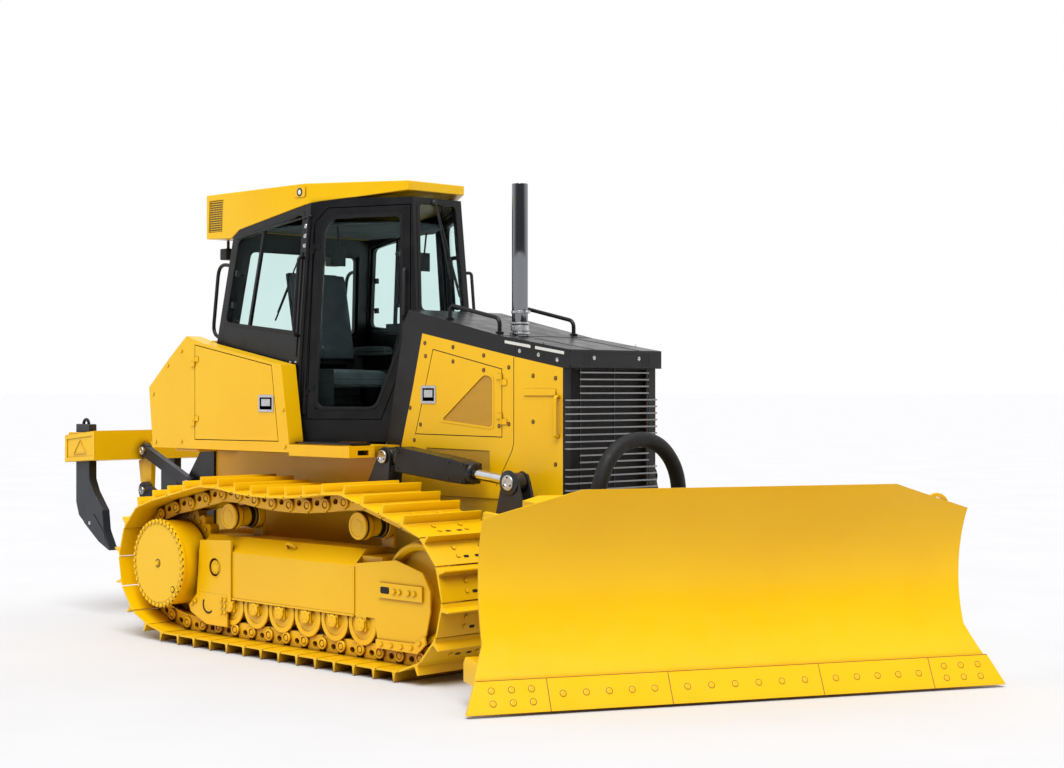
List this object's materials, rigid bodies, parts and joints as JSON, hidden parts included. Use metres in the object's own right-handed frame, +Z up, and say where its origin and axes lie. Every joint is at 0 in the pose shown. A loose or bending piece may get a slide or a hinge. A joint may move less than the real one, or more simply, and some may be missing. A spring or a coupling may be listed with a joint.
{
  "type": "tracked bulldozer",
  "caption": "Tracked bulldozer with enclosed cab, six-way front blade on a C-frame and a rear multi-shank ripper; blade, ripper, doors and hood panels move.",
  "frame": {"origin": "middle of the whole machine's outer box, on the ground", "axes": "+X is the direction of forward travel, +Y is the machine's left, +Z is up; the ground is z = 0"},
  "size_m": [6.8458, 2.987, 3.065],
  "materials": {
    "charcoal_paint": "satin charcoal enamel",
    "chrome_rod": "polished",
    "chrome_stack": "polished",
    "dark_plastic": "grained",
    "engine_iron": "raw",
    "grey_steel": "satin dark grey enamel",
    "hose_rubber": "matt sleeve",
    "seat_cover": "woven cloth",
    "window_glass": "clear tinted",
    "yellow_paint": "satin machinery enamel"
  },
  "bodies": {
    "chassis": {"hull": "yellow_paint", "lift_brackets": "grey_steel", "engine": "engine_iron", "radiator": "charcoal_paint", "hood": "yellow_paint", "hood_trim": "charcoal_paint", "grille": "charcoal_paint", "exhaust_stack": "chrome_stack", "fender_left": "yellow_paint", "fender_right": "yellow_paint", "rear_tank": "yellow_paint", "cab_frame": "charcoal_paint", "cab_roof": "yellow_paint", "cab_glass": "window_glass", "seat": "seat_cover", "console": "dark_plastic", "work_lights": "dark_plastic", "rails": "charcoal_paint", "track_left": "yellow_paint", "track_right": "yellow_paint", "track_frame_left": "yellow_paint", "track_frame_right": "yellow_paint", "rollers": "yellow_paint", "final_drives": "yellow_paint", "ripper_mount": "grey_steel"},
    "c_frame": {"c_frame": "grey_steel", "blade_hose": "hose_rubber"},
    "yoke": {"swivel_yoke": "grey_steel"},
    "blade": {"blade": "yellow_paint", "cutting_edge": "yellow_paint"},
    "lift_barrels": {"lift_barrels": "grey_steel"},
    "lift_rods": {"lift_rods": "chrome_rod"},
    "angle_barrel_left": {"angle_barrel_left": "grey_steel"},
    "angle_rod_left": {"angle_rod_left": "chrome_rod"},
    "angle_barrel_right": {"angle_barrel_right": "grey_steel"},
    "angle_rod_right": {"angle_rod_right": "chrome_rod"},
    "tilt_barrel": {"tilt_barrel": "grey_steel"},
    "tilt_rod": {"tilt_rod": "chrome_rod"},
    "ripper_lower_link": {"ripper_lower_link": "grey_steel"},
    "ripper_upper_link": {"ripper_upper_link": "grey_steel"},
    "ripper_beam": {"ripper_beam": "yellow_paint", "ripper_shanks": "grey_steel"},
    "ripper_barrel": {"ripper_barrel": "grey_steel"},
    "ripper_rod": {"ripper_rod": "chrome_rod"},
    "cab_door_left": {"cab_door_left": "charcoal_paint", "door_glass_left": "window_glass"},
    "cab_door_right": {"cab_door_right": "charcoal_paint", "door_glass_right": "window_glass"},
    "hood_door_left": {"hood_door_left": "yellow_paint"},
    "hood_door_right": {"hood_door_right": "yellow_paint"},
    "fender_door_left": {"fender_door_left": "yellow_paint"},
    "fender_door_right": {"fender_door_right": "yellow_paint"}
  },
  "joints": [
    {"name": "blade_lift", "type": "hinge", "parent": "chassis", "child": "c_frame", "pos_m": [-0.61295, 0.2485, 0.55], "axis": [0, 1, 0], "range_deg": [-17.5, 10]},
    {"name": "lift_barrel_swing", "type": "hinge", "parent": "chassis", "child": "lift_barrels", "pos_m": [0.01705, 0.2485, 1.267], "axis": [0, 1, 0], "range_deg": [-28.22, 16.21]},
    {"name": "lift_rod_stroke", "type": "slide", "parent": "lift_barrels", "child": "lift_rods", "axis": [0.9941, 0, -0.1081], "range_m": [-0.2123, 0.1222]},
    {"name": "blade_angle", "type": "hinge", "parent": "c_frame", "child": "yoke", "pos_m": [2.08705, 0.2485, 0.59], "axis": [0, 0, 1], "range_deg": [0, 53]},
    {"name": "angle_barrel_swing_left", "type": "hinge", "parent": "c_frame", "child": "angle_barrel_left", "pos_m": [1.41705, 0.7835, 0.79], "axis": [0, 0, 1], "range_deg": [-0.2, 5.12]},
    {"name": "angle_rod_stroke_left", "type": "slide", "parent": "angle_barrel_left", "child": "angle_rod_left", "axis": [0.9721, -0.2345, 0], "range_m": [-0.3712, 0.002]},
    {"name": "angle_barrel_swing_right", "type": "hinge", "parent": "c_frame", "child": "angle_barrel_right", "pos_m": [1.41705, -0.2865, 0.79], "axis": [0, 0, 1], "range_deg": [-1.01, 0.2]},
    {"name": "angle_rod_stroke_right", "type": "slide", "parent": "angle_barrel_right", "child": "angle_rod_right", "axis": [0.9794, 0.2019, 0], "range_m": [-0.002, 0.3787]},
    {"name": "blade_tilt", "type": "hinge", "parent": "yoke", "child": "blade", "pos_m": [2.08705, 0.2485, 0.59], "axis": [0.8949, -0.4462, 0], "range_deg": [-7, 7]},
    {"name": "tilt_barrel_swing", "type": "hinge", "parent": "yoke", "child": "tilt_barrel", "pos_m": [2.15448, -0.05329, 0.935], "axis": [0.8949, -0.4462, 0], "range_deg": [-4.92, 4.92]},
    {"name": "tilt_rod_stroke", "type": "slide", "parent": "tilt_barrel", "child": "tilt_rod", "axis": [0.4454, 0.8933, 0.0596], "range_m": [-0.0458, 0.0458]},
    {"name": "ripper_lift", "type": "hinge", "parent": "chassis", "child": "ripper_lower_link", "pos_m": [-2.34295, 0.2485, 0.7], "axis": [0, -1, 0], "range_deg": [0, 71]},
    {"name": "ripper_upper_swing", "type": "hinge", "parent": "chassis", "child": "ripper_upper_link", "pos_m": [-2.34295, 0.2485, 1], "axis": [0, -1, 0], "range_deg": [0, 71]},
    {"name": "ripper_beam_level", "type": "hinge", "parent": "ripper_lower_link", "child": "ripper_beam", "pos_m": [-2.93295, 0.2485, 0.93], "axis": [0, -1, 0], "range_deg": [-71, 0]},
    {"name": "ripper_barrel_swing", "type": "hinge", "parent": "chassis", "child": "ripper_barrel", "pos_m": [-2.30295, 0.2485, 1.18], "axis": [0, -1, 0], "range_deg": [-0.2, 39.65]},
    {"name": "ripper_rod_stroke", "type": "slide", "parent": "ripper_barrel", "child": "ripper_rod", "axis": [-0.8888, 0, -0.4582], "range_m": [-0.002, 0.4026]},
    {"name": "cab_door_swing_left", "type": "hinge", "parent": "chassis", "child": "cab_door_left", "pos_m": [-0.69667, 0.8928, 2.14861], "axis": [-0.0184, -0.0696, 0.9974], "range_deg": [0, 85]},
    {"name": "hood_door_swing_left", "type": "hinge", "parent": "chassis", "child": "hood_door_left", "pos_m": [0.88205, 0.6675, 1.66], "axis": [0, 0, -1], "range_deg": [0, 100]},
    {"name": "fender_door_swing_left", "type": "hinge", "parent": "chassis", "child": "fender_door_left", "pos_m": [-1.70595, 1.1155, 1.66], "axis": [0, 0, 1], "range_deg": [0, 100]},
    {"name": "cab_door_swing_right", "type": "hinge", "parent": "chassis", "child": "cab_door_right", "pos_m": [-0.69667, -0.3958, 2.14861], "axis": [0.0184, -0.0696, -0.9974], "range_deg": [0, 85]},
    {"name": "hood_door_swing_right", "type": "hinge", "parent": "chassis", "child": "hood_door_right", "pos_m": [0.88205, -0.1705, 1.66], "axis": [0, 0, 1], "range_deg": [0, 100]},
    {"name": "fender_door_swing_right", "type": "hinge", "parent": "chassis", "child": "fender_door_right", "pos_m": [-1.70595, -0.6185, 1.66], "axis": [0, 0, -1], "range_deg": [0, 100]}
  ],
  "couplings": [
    {"joint": "lift_barrel_swing", "follows": "blade_lift", "ratio": 1.601},
    {"joint": "lift_rod_stroke", "follows": "blade_lift", "m_per_rad": 0.68841},
    {"joint": "angle_barrel_swing_left", "follows": "blade_angle", "ratio": 0.092794},
    {"joint": "angle_rod_stroke_left", "follows": "blade_angle", "m_per_rad": -0.3991},
    {"joint": "angle_barrel_swing_right", "follows": "blade_angle", "ratio": -0.015262},
    {"joint": "angle_rod_stroke_right", "follows": "blade_angle", "m_per_rad": 0.4072},
    {"joint": "tilt_barrel_swing", "follows": "blade_tilt", "ratio": 0.67427},
    {"joint": "tilt_rod_stroke", "follows": "blade_tilt", "m_per_rad": -0.3585},
    {"joint": "ripper_upper_swing", "follows": "ripper_lift", "ratio": 1},
    {"joint": "ripper_beam_level", "follows": "ripper_lift", "ratio": -1},
    {"joint": "ripper_barrel_swing", "follows": "ripper_lift", "ratio": 0.55558},
    {"joint": "ripper_rod_stroke", "follows": "ripper_lift", "m_per_rad": 0.32329}
  ]
}
